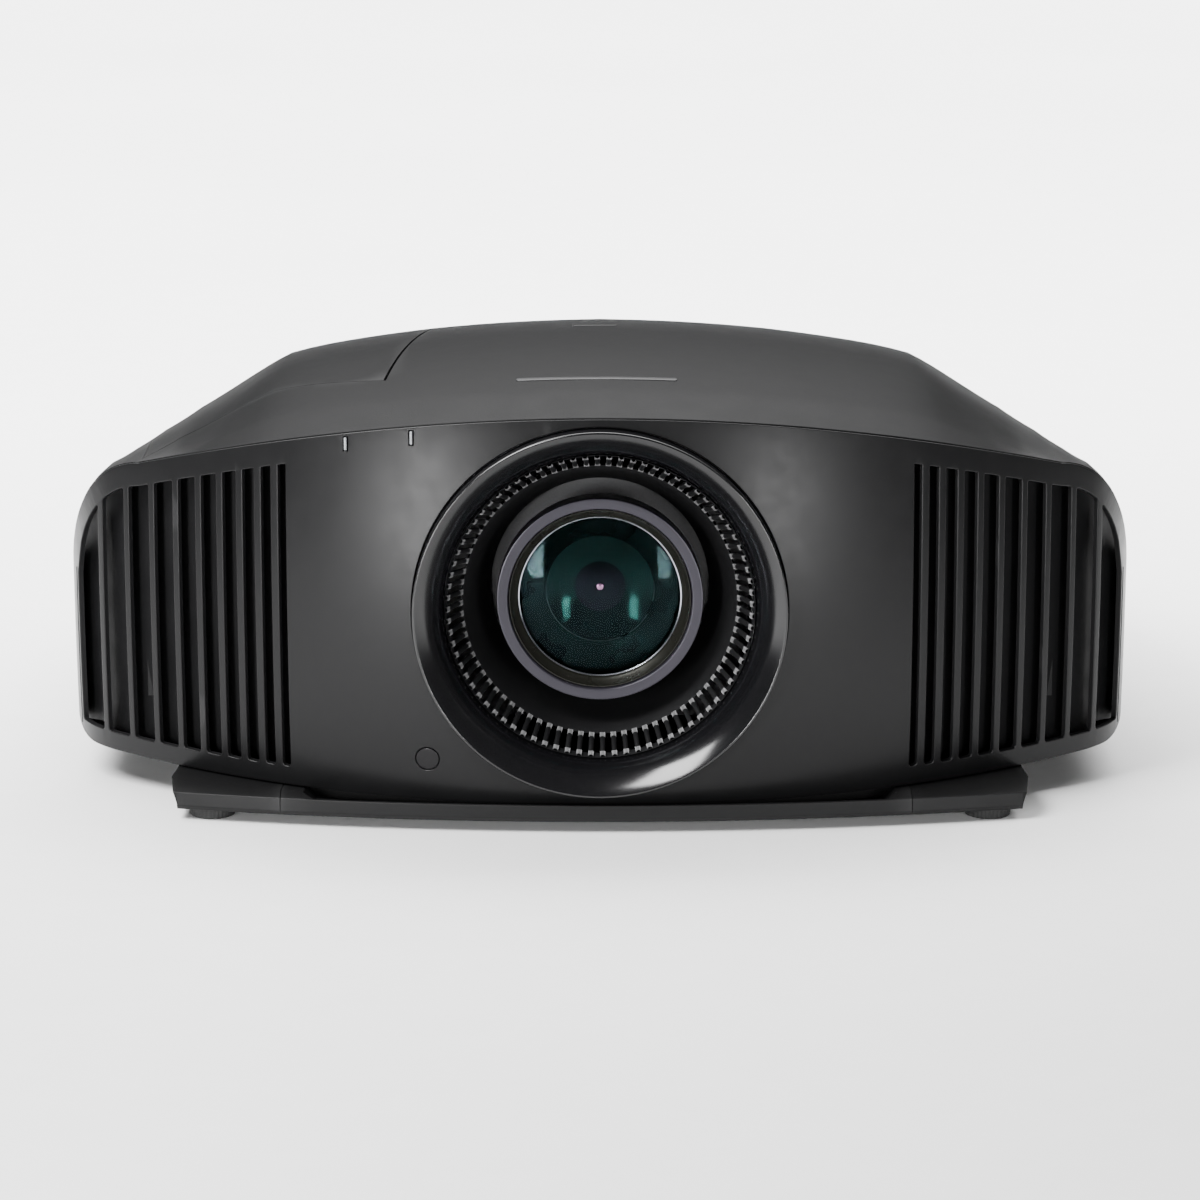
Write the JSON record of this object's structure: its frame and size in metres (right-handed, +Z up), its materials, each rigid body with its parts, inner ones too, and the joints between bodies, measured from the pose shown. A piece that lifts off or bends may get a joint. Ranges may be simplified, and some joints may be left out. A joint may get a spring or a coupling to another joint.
{
  "type": "home projector",
  "caption": "Wide low home-cinema projector with a curved slotted front, a centred lens in a vented funnel ring, powered lens shift, lamp, fans, side sockets and keys.",
  "frame": {"origin": "centre of the whole object's box, on the surface that it stands on", "axes": "the lens looks along -Y, +Z is up, +X is to the right as seen from the front"},
  "size_m": [0.4956, 0.4636, 0.2053],
  "materials": {
    "cover_shell": "matte dark grey with a fine grain",
    "front_shell": "satin charcoal",
    "case_shell": "fine matte charcoal",
    "base_shell": "fine matte dark grey",
    "ring_gloss": "polished black",
    "inner_black": "matte black",
    "lens_metal": "dark anodised",
    "lens_glass": "coated, teal and green reflections",
    "gear_plastic": "moulded black",
    "cast_frame": "die cast",
    "screw_steel": "turned, plated",
    "tray_plastic": "fine matte black",
    "socket_metal": "plated shell",
    "light_guide": "clear pale light guide",
    "dark_window": "dark infrared window",
    "foot_rubber": "matte rubber",
    "lamp_mirror": "coated reflector",
    "prism_glass": "polished prism",
    "fan_plastic": "moulded black",
    "sheet_steel": "plated sheet",
    "circuit_board": "solder mask green",
    "filter_foam": "open foam",
    "key_plastic": "satin dark grey"
  },
  "bodies": {
    "chassis": {"air_filter": "filter_foam", "base_tray": "base_shell", "bottom_pan": "case_shell", "display_socket_1": "socket_metal", "display_socket_2": "socket_metal", "fan_frame_left": "inner_black", "fan_frame_right": "inner_black", "front_fascia": "front_shell", "jack_block": "inner_black", "key_panel": "tray_plastic", "lamp_housing": "inner_black", "lamp_reflector": "lamp_mirror", "lens_ring": "ring_gloss", "main_board": "circuit_board", "mains_inlet": "inner_black", "network_socket": "socket_metal", "optics_housing": "cast_frame", "power_supply": "sheet_steel", "prism_block": "prism_glass", "rear_foot_left": "foot_rubber", "rear_foot_right": "foot_rubber", "rear_panel": "case_shell", "remote_window": "dark_window", "serial_socket": "socket_metal", "service_socket": "socket_metal", "shift_plate": "cast_frame", "status_light_1": "light_guide", "status_light_2": "light_guide", "terminal_tray": "tray_plastic", "top_cover": "cover_shell", "vent_ring": "inner_black"},
    "lens_rise": {"shift_carriage_v": "cast_frame"},
    "rise_screw": {"shift_screw_v": "screw_steel"},
    "lens_slide": {"shift_carriage_h": "cast_frame", "lens_barrel": "lens_metal", "rear_glass": "lens_glass"},
    "slide_screw": {"shift_screw_h": "screw_steel"},
    "focus_ring": {"focus_ring": "gear_plastic"},
    "focus_pinion": {"focus_pinion": "gear_plastic"},
    "focus_group": {"focus_tube": "inner_black", "front_glass": "lens_glass"},
    "zoom_ring": {"zoom_ring": "gear_plastic"},
    "zoom_pinion": {"zoom_pinion": "gear_plastic"},
    "foot_stud_left": {"foot_stud_left": "screw_steel"},
    "foot_stud_right": {"foot_stud_right": "screw_steel"},
    "foot_wheel_left": {"foot_wheel_left": "foot_rubber"},
    "foot_wheel_right": {"foot_wheel_right": "foot_rubber"},
    "fan_impeller_left": {"fan_impeller_left": "fan_plastic"},
    "fan_impeller_right": {"fan_impeller_right": "fan_plastic"},
    "lamp_cover": {"lamp_cover": "cover_shell"},
    "lamp_cover_screw": {"lamp_cover_screw": "screw_steel"},
    "power_key": {"power_key": "key_plastic"},
    "input_key": {"input_key": "key_plastic"},
    "menu_key": {"menu_key": "key_plastic"},
    "lens_key": {"lens_key": "key_plastic"},
    "up_key": {"up_key": "key_plastic"},
    "down_key": {"down_key": "key_plastic"},
    "left_key": {"left_key": "key_plastic"},
    "right_key": {"right_key": "key_plastic"},
    "enter_key": {"enter_key": "key_plastic"}
  },
  "joints": [
    {"name": "lens_shift_vertical", "type": "slide", "parent": "chassis", "child": "lens_rise", "axis": [0, 0, 1], "range_m": [-0.007, 0.007]},
    {"name": "vertical_screw_turn", "type": "hinge", "parent": "chassis", "child": "rise_screw", "pos_m": [0.0735, -0.0985, 0.101], "axis": [0, 0, 1], "range_deg": [-1300, 1300]},
    {"name": "lens_shift_horizontal", "type": "slide", "parent": "lens_rise", "child": "lens_slide", "axis": [1, 0, 0], "range_m": [-0.005, 0.005]},
    {"name": "horizontal_screw_turn", "type": "hinge", "parent": "lens_rise", "child": "slide_screw", "pos_m": [0, -0.1042, 0.1675], "axis": [1, 0, 0], "range_deg": [-930, 930]},
    {"name": "focus_ring_turn", "type": "hinge", "parent": "lens_slide", "child": "focus_ring", "pos_m": [0, -0.154, 0.101], "axis": [0, 1, 0], "range_deg": [-60, 60]},
    {"name": "focus_pinion_turn", "type": "hinge", "parent": "lens_slide", "child": "focus_pinion", "pos_m": [0.0545, -0.154, 0.0812], "axis": [0, 1, 0], "range_deg": [-402, 402]},
    {"name": "focus_group_travel", "type": "slide", "parent": "lens_slide", "child": "focus_group", "axis": [0, 1, 0], "range_m": [-0.00151, 0.00151]},
    {"name": "zoom_ring_turn", "type": "hinge", "parent": "lens_slide", "child": "zoom_ring", "pos_m": [0, -0.136, 0.101], "axis": [0, 1, 0], "range_deg": [-60, 60]},
    {"name": "zoom_pinion_turn", "type": "hinge", "parent": "lens_slide", "child": "zoom_pinion", "pos_m": [-0.0545, -0.136, 0.0812], "axis": [0, 1, 0], "range_deg": [-402, 402]},
    {"name": "foot_left_turn", "type": "hinge", "parent": "foot_stud_left", "child": "foot_wheel_left", "pos_m": [-0.1775, -0.1968, 0.0035], "axis": [0, 0, 1], "range_deg": [0, 1800]},
    {"name": "foot_left_travel", "type": "slide", "parent": "chassis", "child": "foot_stud_left", "axis": [0, 0, 1], "range_m": [-0.005, 0]},
    {"name": "fan_left_spin", "type": "hinge", "parent": "chassis", "child": "fan_impeller_left", "pos_m": [-0.17, -0.146, 0.085], "axis": [0, 1, 0], "continuous": true},
    {"name": "foot_right_turn", "type": "hinge", "parent": "foot_stud_right", "child": "foot_wheel_right", "pos_m": [0.1775, -0.1968, 0.0035], "axis": [0, 0, 1], "range_deg": [0, 1800]},
    {"name": "foot_right_travel", "type": "slide", "parent": "chassis", "child": "foot_stud_right", "axis": [0, 0, 1], "range_m": [-0.005, 0]},
    {"name": "fan_right_spin", "type": "hinge", "parent": "chassis", "child": "fan_impeller_right", "pos_m": [0.17, -0.146, 0.085], "axis": [0, 1, 0], "continuous": true},
    {"name": "lamp_cover_lift", "type": "slide", "parent": "chassis", "child": "lamp_cover", "axis": [0, 0, 1], "range_m": [0, 0.04]},
    {"name": "lamp_cover_screw_turn", "type": "hinge", "parent": "lamp_cover", "child": "lamp_cover_screw", "pos_m": [-0.12, 0.008, 0.18], "axis": [0, 0, 1], "range_deg": [0, 1800]},
    {"name": "power_key_press", "type": "slide", "parent": "chassis", "child": "power_key", "axis": [1, 0, 0], "range_m": [0, 0.0008], "stiffness_N_per_m": 400},
    {"name": "input_key_press", "type": "slide", "parent": "chassis", "child": "input_key", "axis": [1, 0, 0], "range_m": [0, 0.0008], "stiffness_N_per_m": 400},
    {"name": "menu_key_press", "type": "slide", "parent": "chassis", "child": "menu_key", "axis": [1, 0, 0], "range_m": [0, 0.0008], "stiffness_N_per_m": 400},
    {"name": "lens_key_press", "type": "slide", "parent": "chassis", "child": "lens_key", "axis": [1, 0, 0], "range_m": [0, 0.0008], "stiffness_N_per_m": 400},
    {"name": "up_key_press", "type": "slide", "parent": "chassis", "child": "up_key", "axis": [1, 0, 0], "range_m": [0, 0.0008], "stiffness_N_per_m": 400},
    {"name": "down_key_press", "type": "slide", "parent": "chassis", "child": "down_key", "axis": [1, 0, 0], "range_m": [0, 0.0008], "stiffness_N_per_m": 400},
    {"name": "left_key_press", "type": "slide", "parent": "chassis", "child": "left_key", "axis": [1, 0, 0], "range_m": [0, 0.0008], "stiffness_N_per_m": 400},
    {"name": "right_key_press", "type": "slide", "parent": "chassis", "child": "right_key", "axis": [1, 0, 0], "range_m": [0, 0.0008], "stiffness_N_per_m": 400},
    {"name": "enter_key_press", "type": "slide", "parent": "chassis", "child": "enter_key", "axis": [1, 0, 0], "range_m": [0, 0.0008], "stiffness_N_per_m": 400}
  ],
  "couplings": [
    {"joint": "vertical_screw_turn", "follows": "lens_shift_vertical", "rad_per_m": 3141.6},
    {"joint": "horizontal_screw_turn", "follows": "lens_shift_horizontal", "rad_per_m": 3141.6},
    {"joint": "focus_pinion_turn", "follows": "focus_ring_turn", "ratio": -6.6667},
    {"joint": "focus_group_travel", "follows": "focus_ring_turn", "m_per_rad": 0.0014324},
    {"joint": "zoom_pinion_turn", "follows": "zoom_ring_turn", "ratio": -6.6667},
    {"joint": "foot_left_turn", "follows": "foot_left_travel", "rad_per_m": -6283.2},
    {"joint": "foot_right_turn", "follows": "foot_right_travel", "rad_per_m": -6283.2}
  ]
}
